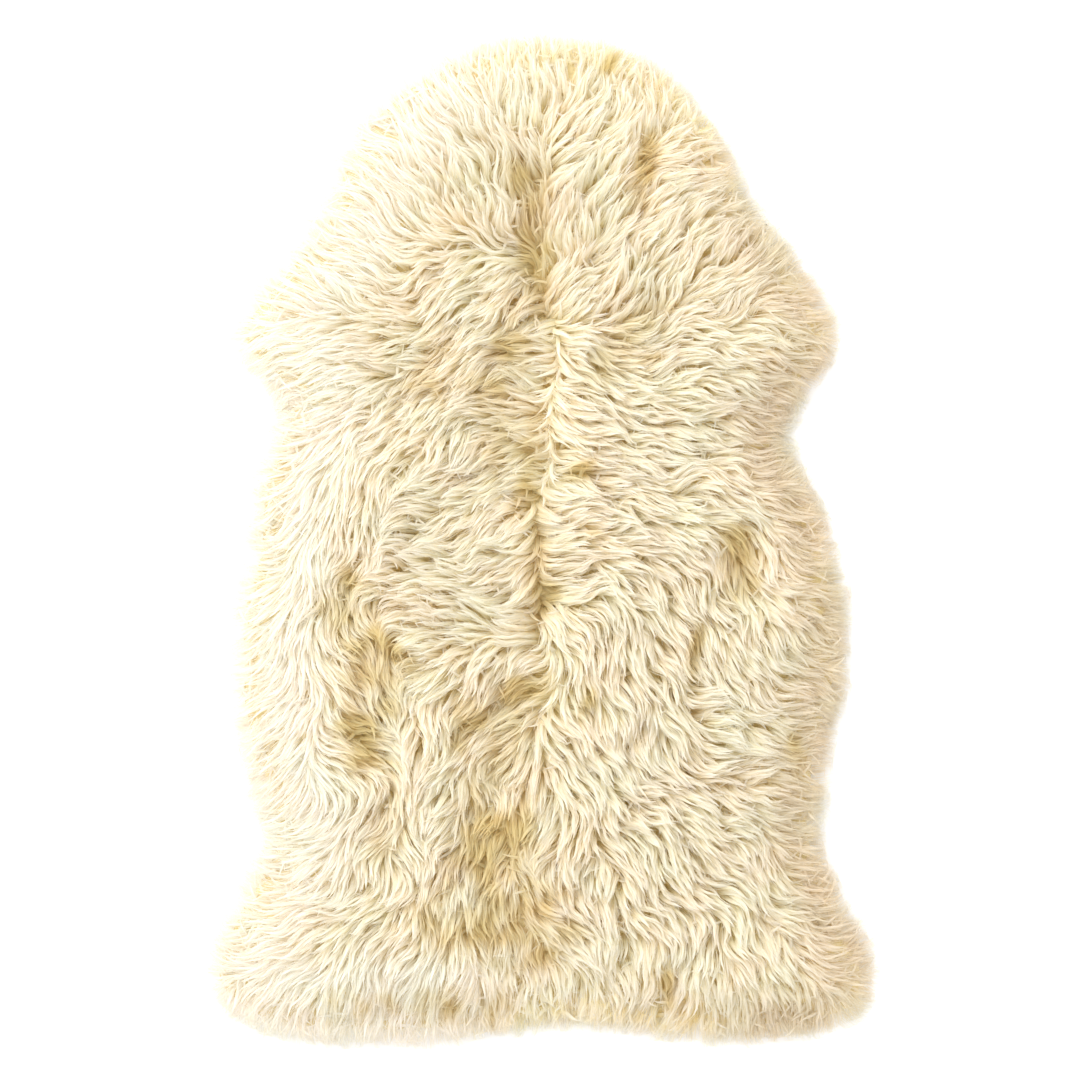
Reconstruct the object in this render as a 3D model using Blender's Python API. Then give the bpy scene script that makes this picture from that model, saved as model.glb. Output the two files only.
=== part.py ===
"""Sheepskin rug: one whole pelt, tanned with its long wool on, lying flat on the floor, wool side up.

Frame: the origin is on the floor under the middle of the rug. +Y runs to the neck, +X to the right, +Z up.
Units are metres.

The pelt is one piece, so the rug is one solid, as far as its wool reaches. Below it is flat, where the skin
and the wool that droops past its edge lie on the floor. At the edge it is round. Above it is crowned, and
dips where the wool parts or lies low. It is lofted between the outline and the line of the spine.
"""

import math

import bmesh
import bpy
from mathutils import Vector

# Driving dimensions.
LENGTH = 0.90  # from the neck to the tail, over the wool
WIDTH = 0.60  # over the hind legs, its widest place
CROWN = 0.056  # skin and wool together, over most of the back

# The line of the spine, which the loft closes on: its two ends as shares of half the length.
SPINE_NECK = 0.66
SPINE_TAIL = -0.66

# How finely the loft is cut.
STATIONS = 41  # rays to each side of the spine
FAN_RAYS = 59  # rays round each end of the spine
CROWN_RINGS = 14  # rings between the edge and the spine
CROWN_BUNCH = 1.15  # above 1, the crown's rings lie closer towards the edge
SPAN_POINTS = 12  # points of the smooth outline between two rows of the table
HAIR = 1e-5  # what counts as nothing

# The round edge of the wool, from the floor up. inset is measured inwards from the outline.
EDGE_COLUMNS = ("place", "inset", "height")
EDGE = (
    ("sole", 0.014, 0.000),
    ("foot", 0.004, 0.005),
    ("rim", 0.000, 0.014),
    ("brow", 0.005, 0.024),
)
SLOPE = 0.115  # how far inwards from the brow the wool still rises
SLOPE_SWELL = 1.2  # above 1, the slope starts gently at the brow

# The tufts along the edge: how many round the rug, how far in they reach, and where the first one starts, in
# turns.
TUFT_COLUMNS = ("count", "reach", "start")
TUFTS = (
    (23, 0.0022, 0.00),
    (37, 0.0018, 0.30),
    (61, 0.0010, 0.70),
)

# The slow rise and fall of the wool, as waves: the height of each, its turns per metre to the right and
# towards the neck, and where it starts, in turns.
WAVE_COLUMNS = ("height", "right", "up", "start")
WAVES = (
    (0.0016, 4.9, 1.4, 0.10),
    (0.0014, -2.2, 3.7, 0.33),
    (0.0008, 6.5, -7.5, 0.50),
)

# The outline over the wool, anticlockwise from above. across is a share of half the width, and along of half
# the length.
OUTLINE_COLUMNS = ("place", "across", "along")
OUTLINE = (
    ("neck_middle", 0.00, 1.00),
    ("neck_left", -0.33, 0.955),
    ("cheek_left", -0.57, 0.81),
    ("throat_left", -0.66, 0.65),
    ("shoulder_left", -0.86, 0.49),
    ("foreleg_left", -0.92, 0.38),
    ("armpit_left", -0.78, 0.26),
    ("rib_left", -0.86, 0.12),
    ("girth_left", -0.87, 0.01),
    ("belly_left", -0.93, -0.22),
    ("loin_left", -0.90, -0.40),
    ("tuck_left", -0.83, -0.60),
    ("thigh_left", -0.93, -0.73),
    ("hindleg_left", -1.00, -0.86),
    ("hock_left", -0.91, -0.95),
    ("rump_left", -0.68, -0.995),
    ("tail_left", -0.33, -1.00),
    ("tail_notch", 0.09, -0.965),
    ("tail_right", 0.40, -0.985),
    ("rump_right", 0.74, -0.99),
    ("hock_right", 0.96, -0.95),
    ("hindleg_right", 1.00, -0.85),
    ("thigh_right", 0.93, -0.73),
    ("tuck_right", 0.85, -0.60),
    ("flank_right", 0.87, -0.43),
    ("belly_right", 0.93, -0.21),
    ("girth_right", 0.88, 0.00),
    ("rib_right", 0.81, 0.13),
    ("armpit_right", 0.74, 0.22),
    ("foreleg_right", 0.90, 0.39),
    ("shoulder_right", 0.82, 0.51),
    ("throat_right", 0.63, 0.68),
    ("cheek_right", 0.53, 0.82),
    ("neck_right", 0.31, 0.96),
)

# Where the wool parts or lies low, and, with a minus sign, where it swells. x and y are the middle, turn is
# the way the dip runs, in degrees clockwise from +Y, and long and wide are its half sizes.
DIP_COLUMNS = ("place", "x", "y", "turn", "long", "wide", "depth")
DIPS = (
    ("parting_neck", -0.003, 0.260, 2, 0.080, 0.017, 0.014),
    ("parting_withers", -0.030, 0.115, 6, 0.075, 0.028, 0.009),
    ("parting_back", 0.000, -0.020, 4, 0.060, 0.014, 0.008),
    ("parting_loin", -0.033, -0.170, 10, 0.060, 0.028, 0.010),
    ("parting_rump", -0.055, -0.270, -8, 0.060, 0.026, 0.010),
    ("parting_tail", -0.020, -0.355, -20, 0.050, 0.022, 0.012),
    ("hollow_flank_left", -0.158, -0.115, -14, 0.095, 0.032, 0.012),
    ("hollow_hip_left", -0.135, -0.245, 14, 0.045, 0.024, 0.009),
    ("hollow_flank_right", 0.177, -0.025, 0, 0.045, 0.021, 0.012),
    ("crease_belly_right", 0.232, -0.190, 3, 0.130, 0.020, 0.008),
    ("crease_shoulder_right", 0.075, 0.175, 40, 0.060, 0.018, 0.007),
    ("notch_cheek_right", 0.092, 0.318, 14, 0.032, 0.011, 0.014),
    ("notch_neck_right", 0.061, 0.412, 35, 0.026, 0.011, 0.011),
    ("notch_rump_right", 0.115, -0.396, -6, 0.028, 0.010, 0.013),
    ("swell_rib_left", -0.095, 0.000, -10, 0.130, 0.040, -0.002),
    ("swell_back_right", 0.085, -0.100, 0, 0.170, 0.055, -0.004),
    ("swell_rump_left", -0.110, -0.370, -30, 0.060, 0.050, -0.003),
)

WOOL_COLOUR = (0.86, 0.77, 0.56, 1.0)
WOOL_ROUGHNESS = 0.9


def rows(columns, table):
    """The table's rows, each as a dictionary."""
    return [dict(zip(columns, row)) for row in table]


def outline():
    """The smooth closed outline through the table's rows, as points."""
    ends = [
        Vector((row["across"] * WIDTH / 2, row["along"] * LENGTH / 2))
        for row in rows(OUTLINE_COLUMNS, OUTLINE)
    ]
    count = len(ends)
    points = []
    for i in range(count):
        before, start, end, after = (ends[(i + k) % count] for k in (-1, 0, 1, 2))
        for step in range(SPAN_POINTS):
            t = step / SPAN_POINTS
            points.append(catmull_rom(before, start, end, after, t))
    return points


def catmull_rom(before, start, end, after, t):
    """The point at t, from 0 at start to 1 at end, of the smooth curve that also heeds its two neighbours."""
    bend = 2 * before - 5 * start + 4 * end - after
    turn = 3 * start - before - 3 * end + after
    return (2 * start + (end - before) * t + bend * t**2 + turn * t**3) / 2


def reach(origin, way, points):
    """How far the outline is from origin along way."""
    furthest = 0.0
    for i, start in enumerate(points):
        side = points[(i + 1) % len(points)] - start
        gap = start - origin
        slant = way.cross(side)
        if abs(slant) < HAIR**2:
            continue
        share = gap.cross(way) / slant
        distance = gap.cross(side) / slant
        if -HAIR < share < 1 + HAIR and distance > furthest:
            furthest = distance
    return furthest


def rays():
    """Each ray of the loft, as its start on the spine and its direction, anticlockwise from the tail's right."""
    neck = SPINE_NECK * LENGTH / 2
    tail = SPINE_TAIL * LENGTH / 2
    places = [tail + (neck - tail) * i / (STATIONS - 1) for i in range(STATIONS)]
    turns = [math.pi * (i + 1) / (FAN_RAYS + 1) for i in range(FAN_RAYS)]
    right = [(Vector((0, y)), Vector((1, 0))) for y in places]
    head = [(Vector((0, neck)), Vector((math.cos(a), math.sin(a)))) for a in turns]
    left = [(Vector((0, y)), Vector((-1, 0))) for y in reversed(places)]
    foot = [(Vector((0, tail)), Vector((-math.cos(a), -math.sin(a)))) for a in turns]
    return right + head + left + foot


def dip_depth(x, y):
    """How much lower the wool lies at a place than its plain crown, for all the dips together."""
    total = 0.0
    for dip in rows(DIP_COLUMNS, DIPS):
        turn = math.radians(dip["turn"])
        dx = x - dip["x"]
        dy = y - dip["y"]
        along = (dx * math.sin(turn) + dy * math.cos(turn)) / dip["long"]
        across = (dx * math.cos(turn) - dy * math.sin(turn)) / dip["wide"]
        total += dip["depth"] * math.exp(-(along**4) - across**2)
    return total


def unevenness(x, y):
    """The slow rise and fall of the wool at a place, for all the waves together."""
    total = 0.0
    for wave in rows(WAVE_COLUMNS, WAVES):
        turns = wave["right"] * x + wave["up"] * y + wave["start"]
        total += wave["height"] * math.sin(2 * math.pi * turns)
    return total


def tuft_gap(turn):
    """How far the edge lies inside the outline, at a share of the way round the rug."""
    total = 0.0
    for tuft in rows(TUFT_COLUMNS, TUFTS):
        total += tuft["reach"] * (1 - math.sin(2 * math.pi * (tuft["count"] * turn + tuft["start"]))) / 2
    return total


def crown_height(x, y, inset):
    """The height of the wool at a place that lies inset from the brow."""
    brow = EDGE[-1][2]
    share = min(1.0, inset / SLOPE)
    rise = math.sin(share * math.pi / 2) ** SLOPE_SWELL
    return brow + rise * (CROWN - brow + unevenness(x, y) - dip_depth(x, y))


def loft_rings():
    """The loft's rings from the sole to just short of the spine, each a list with a point for every ray."""
    points = outline()
    edge = rows(EDGE_COLUMNS, EDGE)
    brow_inset = edge[-1]["inset"]
    rings = [[] for _ in range(len(edge) + CROWN_RINGS)]
    lines = rays()
    for i, (origin, way) in enumerate(lines):
        far = reach(origin, way, points) - tuft_gap(i / len(lines))
        for ring, row in zip(rings, edge):
            place = origin + way * (far - row["inset"])
            ring.append((place.x, place.y, row["height"]))
        span = far - brow_inset
        for k in range(CROWN_RINGS):
            share = ((k + 1) / (CROWN_RINGS + 1)) ** CROWN_BUNCH
            place = origin + way * span * (1 - share)
            ring = rings[len(edge) + k]
            ring.append((place.x, place.y, crown_height(place.x, place.y, span * share)))
    return rings


def spine_vertices(mesh):
    """The vertex on the spine of every ray: opposite rays share theirs, and so do all the rays of a fan."""
    made = {}
    found = []
    for origin, _ in rays():
        key = round(origin.y, 6)
        if key not in made:
            height = crown_height(0, origin.y, SLOPE)
            made[key] = mesh.verts.new((0, origin.y, height))
        found.append(made[key])
    return found


def centre(mesh):
    """Moves the mesh sideways until the middle of its box is over the origin."""
    across = [corner.co.x for corner in mesh.verts]
    along = [corner.co.y for corner in mesh.verts]
    middle = Vector((min(across) + max(across), min(along) + max(along), 0)) / 2
    bmesh.ops.translate(mesh, verts=mesh.verts, vec=-middle)


def pelt_mesh():
    """The closed surface of the pelt."""
    mesh = bmesh.new()
    rings = [[mesh.verts.new(place) for place in ring] for ring in loft_rings()]
    mesh.faces.new(reversed(rings[0]))
    rings.append(spine_vertices(mesh))
    for lower, upper in zip(rings, rings[1:]):
        for i, corner in enumerate(lower):
            j = (i + 1) % len(lower)
            corners = [corner, lower[j], upper[j]]
            if upper[j] is not upper[i]:
                corners.append(upper[i])
            mesh.faces.new(corners)
    centre(mesh)
    data = bpy.data.meshes.new("sheepskin")
    mesh.to_mesh(data)
    mesh.free()
    return data


def wool_material():
    """The cream wool."""
    material = bpy.data.materials.new("wool")
    material.use_nodes = True
    surface = material.node_tree.nodes["Principled BSDF"]
    surface.inputs["Base Color"].default_value = WOOL_COLOUR
    surface.inputs["Roughness"].default_value = WOOL_ROUGHNESS
    surface.inputs["Metallic"].default_value = 0.0
    return material


def main():
    for old in list(bpy.data.objects):
        bpy.data.objects.remove(old)
    collection = bpy.data.collections.new("sheepskin_rug")
    bpy.context.scene.collection.children.link(collection)
    pelt = bpy.data.objects.new("sheepskin", pelt_mesh())
    pelt.data.materials.append(wool_material())
    pelt.data.shade_smooth()
    collection.objects.link(pelt)


main()
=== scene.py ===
"""The looks of the sheepskin rug: a tanned skin, its short underwool, and thousands of wavy locks of wool.

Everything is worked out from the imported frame. The locks are rooted inside its outline and reach its top.
Units are metres, and angles are in degrees, anticlockwise from +X. +Y runs to the neck and +Z up.
"""

import bmesh
import bpy
import numpy as np
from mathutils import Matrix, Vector, kdtree
from mathutils.bvhtree import BVHTree


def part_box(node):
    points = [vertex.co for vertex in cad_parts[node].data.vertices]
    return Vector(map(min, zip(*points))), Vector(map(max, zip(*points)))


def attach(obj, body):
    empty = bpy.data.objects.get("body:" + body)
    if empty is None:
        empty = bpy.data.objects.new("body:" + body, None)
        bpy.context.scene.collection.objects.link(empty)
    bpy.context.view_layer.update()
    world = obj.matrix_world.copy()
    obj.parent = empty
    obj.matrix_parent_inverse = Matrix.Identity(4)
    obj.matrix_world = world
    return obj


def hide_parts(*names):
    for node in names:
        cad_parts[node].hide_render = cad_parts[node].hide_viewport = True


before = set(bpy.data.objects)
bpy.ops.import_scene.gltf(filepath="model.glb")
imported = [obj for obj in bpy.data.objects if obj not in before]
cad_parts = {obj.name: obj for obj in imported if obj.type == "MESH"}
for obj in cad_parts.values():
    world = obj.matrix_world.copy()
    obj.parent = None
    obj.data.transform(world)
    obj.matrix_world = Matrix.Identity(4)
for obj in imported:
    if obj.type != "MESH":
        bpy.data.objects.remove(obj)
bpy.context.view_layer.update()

NODE = "sheepskin"
SEED = 7

# The grid on which the frame's top surface is measured.
CELL = 0.003
MARGIN = 0.045  # how far the grid runs past the rug

# The sizes of the bumps in each random field.
CLOUD_CELLS = {"wide": 0.075, "middle": 0.032, "wavy": 0.012, "narrow": 0.010}

# The skin and the underwool, measured in from the wool's outline.
HIDE_INSET = 0.034
HIDE_THICKNESS = 0.0018
HIDE_LIFT = 0.0003
UNDERWOOL_INSET = 0.013
UNDERWOOL_DRAWN = 0.10  # how far in from the outline the underwool is drawn in
UNDERWOOL_SHARE = 0.40  # of the wool's height
UNDERWOOL_ROUGH = 0.0022

# The locks over the back, the shorter ones under them, and those along the edge. An inset is how far in
# from the outline they start. A level is where their tips lie, as a share of the wool's height, and a root
# is where they start, as a share of that level. A turn is a spread, in degrees unless its name says so.
# A tone is how much lighter or darker a lock is. Most of it is random; part is painted light where the wool
# is smooth and pale, and part painted shade on the under locks.
LOCK_SPACING = 0.0078
LOCK_INSET = 0.010
LOCK_LENGTH = (0.030, 0.047)
LOCK_LEVEL = (0.93, 1.01)
LOCK_LEVEL_SMOOTH = 0.975  # the least level where the wool is smooth or fluffy
LOCK_LEVEL_RIM = (0.25, 1.0)
LOCK_ROOT = 0.42
LOCK_TURN = 6
LOCK_TONE = 0.35
LOCK_LEAST_SHARE = 0.55  # of its length, where the wool is combed two ways at once
LOCK_FIRM = (0.1, 0.6)  # how firmly wool is combed where locks are shortest, and where they are whole
RIM = (0.045, 0.012)  # the insets at which the locks begin to lie at every height, and wholly do
UNDER_SPACING = 0.0092
UNDER_INSET = 0.012
UNDER_LENGTH = (0.020, 0.032)
UNDER_LEVEL = (0.60, 0.84)
UNDER_ROOT = 0.6
UNDER_TURN_RADIANS = 1.1
# random about a darker mean: painted shade on the locks under the others
UNDER_TONE_AND_SHADE = (-0.7, 0.4)
UNDER_SINK = 0.6  # a share of what the locks above sink by
FRINGE_SPACING = 0.0029
FRINGE_INSET = 0.004
FRINGE_DEPTH = 0.020
FRINGE_LAYERS = 2
FRINGE_LENGTH = (0.022, 0.042)
FRINGE_LEVEL = (0.05, 0.95)
FRINGE_ROOT = 0.8
FRINGE_TURN_RADIANS = 0.28
FRINGE_SWAY_RADIANS = 0.4
FRINGE_TONE = 0.5
FRINGE_SOFT = 0.4  # how fluffy it is at least
FRINGE_REACH = 0.006  # how far past the outline the fringe's tips may go, times each lock's own share
FRINGE_REACH_SHARES = (0.1, 1.5)
FRINGE_UNEVEN = 0.006  # how much farther they may go in some places, and less far in others
JITTER = 0.38  # how far a lock strays from its grid point, as a share of the spacing
ROW_GAP = 0.87  # from row to row of the grid, as a share of the spacing

# The strands of each kind: how many to a lock, how wide, and how far round its root they start. A lock of
# the back is one wide flat strand, its body, with fine strands round it.
STRAND_COLUMNS = ("kind", "count", "width", "radius")
STRAND_KINDS = (
    ("lock_body", 1, 0.0046, 0.0),
    ("lock_strand", 6, 0.00074, 0.0046),
    ("under_strand", 1, 0.0040, 0.0),
    ("fringe_strand", 7, 0.00055, 0.0050),
)

# One strand.
STRAND_STEPS = (0.0, 0.20, 0.34, 0.48, 0.61, 0.74, 0.87, 1.0)  # its points, as shares of its length
ROOT_SHIFT = 0.38  # how far back from its place a lock is rooted, as a share of its length
ROOT_PART = 0.3  # a strand goes straight on from its root for at least this share of its length
FOLLOW = 0.55  # how readily a strand of the back turns with the way the wool is combed
FOLLOW_UNDER = 0.3
FOLLOW_FRINGE = 0.15
CRIMP_LENGTH = (0.018, 0.028)
CRIMP_HEIGHT = (0.0003, 0.0009)
CRIMP_CALM = 0.55  # how much lower it is in fluffy wool
CRIMP_STRAY = 0.08  # how far a strand's crimp may be out of step with its lock's, in waves
CRIMP_GROWN = 0.35  # the share of the strand by which it is full
CRIMP_RISE = 0.7  # its height up and down, as a share of that from side to side
CRIMP_LAG = 0.6  # radians between the two
STRAND_LENGTHS = (0.78, 1.0)  # shares of the lock's length
STRAND_WIDTHS = (0.75, 1.25)  # shares of the kind's width
STRAND_ROOT_WIDTH = 0.7  # a share of its full width, which it has by ROOT_PART
STRAND_THINNED = 0.25  # how much thinner it is in fluffy wool
STRAND_SPREAD = 7  # degrees to each side of the lock's way
STRAND_ROLL = 14  # degrees
STRAND_ROUND = 0.7  # how far the normals lean to each side, which lights a flat ribbon as a round strand
STRAND_TONE = 0.35
GATHER = (0.42, 0.12)  # how far a lock's strands close up towards its tip, in crisp and in fluffy wool
FLATNESS = 0.22  # a lock's thickness, as a share of its width
FLOOR_GAP = 0.0008
FLOOR_STRAY = 0.0006

# The tufts that neighbouring locks gather in.
TUFT_SPACING = 0.026
TUFT_PULL = 0.16
TUFT_RELIEF = 0.0035  # how much lower the wool lies between tufts
TUFT_REACH = 1.6  # how far out the wool still falls, in half tufts
TUFT_CALM = 0.8  # how much less it falls where it is smooth or fluffy
TUFT_TURN = 10
TUFT_TONE = 0.35

# Which way the wool is combed: at a place, within a reach, towards a heading, on one side of the seam or on
# both.
COMB_COLUMNS = ("place", "x", "y", "reach", "heading", "side")
COMB = (
    ("poll", -0.01, 0.42, 0.06, 94, 0),
    ("poll_left", -0.11, 0.36, 0.08, 125, 0),
    ("poll_right", 0.07, 0.38, 0.05, 58, 0),
    ("cheek_right", 0.135, 0.34, 0.05, 18, 0),
    ("crest", 0.03, 0.29, 0.05, 80, 1),
    ("parting_left", -0.035, 0.29, 0.035, 118, -1),
    ("throat_left", -0.18, 0.26, 0.08, 165, 0),
    ("throat_right", 0.155, 0.26, 0.06, 36, 0),
    ("nape_left", -0.06, 0.215, 0.05, 214, -1),
    ("nape_right", 0.07, 0.215, 0.05, 46, 1),
    ("elbow_left", -0.23, 0.17, 0.06, 196, 0),
    ("elbow_right", 0.22, 0.17, 0.06, -8, 0),
    ("withers_left", -0.07, 0.14, 0.06, 205, -1),
    ("withers_right", 0.09, 0.14, 0.07, -6, 1),
    ("back_left", -0.09, 0.05, 0.06, 222, -1),
    ("back_middle", 0.10, 0.06, 0.06, -22, 1),
    ("back_right", 0.05, 0.00, 0.05, 2, 1),
    ("rib_left", -0.172, 0.03, 0.05, 268, 0),
    ("flank_left", -0.165, -0.10, 0.045, 290, 0),
    ("belly_left", -0.245, -0.03, 0.06, 234, 0),
    ("belly_low", -0.245, -0.17, 0.05, 232, 0),
    ("ridge_upper", -0.10, -0.045, 0.045, 197, -1),
    ("ridge_lower", -0.095, -0.085, 0.040, 182, -1),
    ("hollow_right", 0.17, -0.05, 0.045, -78, 0),
    ("loin_right", 0.10, -0.09, 0.045, -42, 1),
    ("flank_right", 0.18, -0.17, 0.05, -38, 0),
    ("belly_right", 0.235, -0.17, 0.04, -5, 0),
    ("loin_left", -0.06, -0.155, 0.05, 232, -1),
    ("hollow_left", -0.165, -0.18, 0.040, 325, 0),
    ("rump_right", 0.08, -0.21, 0.06, -56, 1),
    ("rump_middle", 0.03, -0.30, 0.06, -80, 0),
    ("rump_left", -0.08, -0.27, 0.06, 240, 0),
    ("hip_right", 0.17, -0.29, 0.06, -50, 0),
    ("thigh_left", -0.21, -0.35, 0.09, 206, 0),
    ("tail_left", -0.13, -0.42, 0.06, 250, 0),
    ("tail_right", 0.10, -0.40, 0.05, -72, 0),
    ("thigh_right", 0.23, -0.36, 0.06, -28, 0),
)

# The wool parts along the spine, at SEAM_X. A COMB row with a side of 1 counts only to the right of it, and
# one with a side of -1 only to the left.
SEAM_X = 0.003
SEAM_WIDTH = 0.010
SEAM_WANDER = 0.013  # how far the lines where the wool parts stray
SEAM_REACH = 0.02  # within this of the seam, locks on the left are rooted nearer to their place
SEAM_ROOT = 0.40
EDGE_COMB = 0.032  # how far in from the outline the wool turns outwards
EDGE_PULL = 2.2

# How many degrees the wool strays from its way, in bumps of each size.
SWIRL_WIDE = 22
SWIRL_MIDDLE = 18
SWIRL_WAVY = 34

# Where the wool is painted with golden shade because it parts or lies low there (1), and where it is smooth
# and pale, as painted light (-1).
# Each place has its reach along and across its lean.
SHADE_COLUMNS = ("place", "x", "y", "along", "across", "lean", "golden_shade")
SHADES = (
    ("parting_top", -0.019, 0.321, 0.020, 0.013, 90, 1.0),
    ("parting_neck", -0.006, 0.255, 0.060, 0.016, 94, 0.85),
    ("poll_notch", 0.063, 0.425, 0.014, 0.007, 50, 0.9),
    ("cheek_hollow", 0.094, 0.332, 0.026, 0.009, 80, 1.0),
    ("withers", -0.028, 0.165, 0.050, 0.028, 60, 0.75),
    ("shoulder_mark", 0.097, 0.160, 0.018, 0.008, 0, 0.7),
    ("spine_upper", -0.010, 0.070, 0.050, 0.014, 84, 0.7),
    ("back_notch", 0.037, 0.063, 0.013, 0.009, 30, 0.9),
    ("back_mark", 0.051, 0.006, 0.014, 0.006, 0, 0.7),
    ("spine_middle", 0.006, -0.052, 0.022, 0.011, 60, 1.0),
    ("flank_upper", -0.171, -0.056, 0.042, 0.026, 90, 0.75),
    ("flank_crease", -0.135, -0.093, 0.028, 0.011, -45, 1.0),
    ("flank_middle", -0.148, -0.120, 0.045, 0.024, 100, 0.7),
    ("flank_lower", -0.156, -0.172, 0.030, 0.020, 100, 1.0),
    ("loin_upper", -0.014, -0.130, 0.026, 0.014, 20, 0.95),
    ("loin_left", -0.062, -0.158, 0.028, 0.022, 60, 0.75),
    ("loin_right", 0.039, -0.150, 0.024, 0.010, 70, 0.7),
    ("rump_parting", -0.040, -0.272, 0.055, 0.036, 60, 0.85),
    ("tail_hollow", 0.000, -0.372, 0.024, 0.015, 0, 0.7),
    ("hollow_right", 0.177, -0.017, 0.034, 0.018, 90, 0.9),
    ("hollow_below", 0.138, -0.100, 0.030, 0.009, 85, 0.7),
    ("belly_right", 0.228, -0.196, 0.030, 0.012, 90, 0.6),
    ("thigh_notch", 0.113, -0.396, 0.020, 0.007, 92, 1.0),
    ("withers_left", -0.105, 0.145, 0.050, 0.035, 30, 0.45),
    ("rump_low", -0.035, -0.335, 0.075, 0.045, 0, 0.50),
    ("tail_edge", -0.090, -0.418, 0.110, 0.024, 0, 0.50),
    # The rows with a negative number are painted light: smooth wool coloured paler.
    ("spine_pale", 0.030, 0.130, 0.065, 0.022, 88, -1.0),
    ("back_pale", 0.024, 0.015, 0.055, 0.018, 92, -0.8),
    ("loin_pale", 0.040, -0.097, 0.030, 0.018, 0, -0.8),
    ("ridge_pale", -0.113, -0.178, 0.038, 0.014, 70, -1.0),
    ("rib_pale", -0.176, 0.063, 0.045, 0.020, 90, -0.9),
)
GOLD_SINK = 0.20  # how much lower the wool lies where it is painted with golden shade, as a share of its height
DIP_DEPTH = 0.006  # how far below the wool round it a dip lies that has as much golden painted shade as a dip gets
# the most golden painted shade that a dip gets
DIP_SHADE = 0.6
DIP_INSET = (0.03, 0.06)
PALE_RIM = 0.006  # within this of the outline the wool is coloured pale
# how much lighter, as painted light, the locks are where a SHADES row is negative
PAINTED_LIGHT_TONE = 0.8
GOLD_EDGE = (0.10, 0.85)  # the depths of shade that count as none and as full
PALE_EDGE = (0.10, 0.9)
FRAY_NARROW = 0.30
FRAY_MIDDLE = 0.14

# The fluffy margins, the left one also painted light and the right one painted shade. Each grows to its
# full in these ranges of x and of inset.
LEFT_MARGIN = {"x": (0.02, -0.10), "inset": (0.110, 0.045)}
RIGHT_MARGIN = {"x": (0.12, 0.22), "inset": (0.055, 0.022)}
CALM = 0.6  # how much less a fluffy lock turns and is pulled to its tuft

# The wool's colours: root to tip, golden painted shade where it parts, pale at the outline and as painted
# light along the left margin, and tan painted shade along the right margin.
ROOT_COLOUR = (0.94, 0.84, 0.54)
MIDDLE_COLOUR = (0.975, 0.93, 0.78)
TIP_COLOUR = (0.985, 0.965, 0.905)
GOLDEN_SHADE_COLOUR = (0.84, 0.71, 0.37)
# pale: painted light along the left margin, also used at the outline
PALE_COLOUR = (0.99, 0.985, 0.97)
# tan: painted shade along the right margin, which slopes away from the light
TAN_SHADE_COLOUR = (0.89, 0.82, 0.70)
STREAK_SHADE_COLOUR = (0.96, 0.91, 0.78)  # painted shade in the fine lines between the fibres
ROSY_TINT = (1.0, 0.98, 0.965)
GREEN_TINT = (0.985, 1.0, 0.985)
# the underwool's own golden, made darker as painted shade of the deep wool where it shows
UNDERWOOL_COLOURS = ((0.62, 0.50, 0.24), (0.78, 0.66, 0.38))
HIDE_COLOUR = (0.62, 0.50, 0.36)
GOLDEN_SHADE_SHARE = 0.85  # how strongly each colour covers the wool's own
PALE_SHARE = 0.95
TAN_SHADE_SHARE = 0.9
THROUGH_LIGHT = 0.50  # the share of light that a strand lets through
FLOOR_COLOUR = (0.93, 0.93, 0.93)

REGIONS = ("neck", "shoulders", "back", "loin", "rump")

rng = np.random.default_rng(SEED)


# ---------------------------------------------------------------- the frame, measured


def between(low, high, share):
    """From low to high as share goes from 0 to 1."""
    return low + (high - low) * share


def step(low, high, value):
    """From 0 at low to 1 at high, smooth at both ends."""
    share = np.clip((value - low) / (high - low), 0, 1)
    return share * share * (3 - 2 * share)


class Field:
    """A number at each point of a square grid, read anywhere between them."""

    def __init__(self, values, low, cell):
        self.values = values
        self.low = low
        self.cell = cell

    def __call__(self, x, y):
        across = np.clip((x - self.low[0]) / self.cell, 0, self.values.shape[0] - 1.001)
        along = np.clip((y - self.low[1]) / self.cell, 0, self.values.shape[1] - 1.001)
        i = across.astype(int)
        j = along.astype(int)
        s = across - i
        t = along - j
        near = self.values[i, j] * (1 - s) + self.values[i + 1, j] * s
        far = self.values[i, j + 1] * (1 - s) + self.values[i + 1, j + 1] * s
        return near * (1 - t) + far * t


def blurred(values, reach):
    """The grid's values, each averaged with those within reach cells."""
    offsets = np.arange(-2 * reach, 2 * reach + 1)
    weights = np.exp(-((offsets / reach) ** 2))
    weights /= weights.sum()
    for axis in (0, 1):
        pad = [(0, 0), (0, 0)]
        pad[axis] = (2 * reach, 2 * reach)
        wide = np.pad(values, pad, mode="edge")
        count = values.shape[axis]
        parts = [np.take(wide, np.arange(k, k + count), axis) * w for k, w in enumerate(weights)]
        values = sum(parts)
    return values


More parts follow.
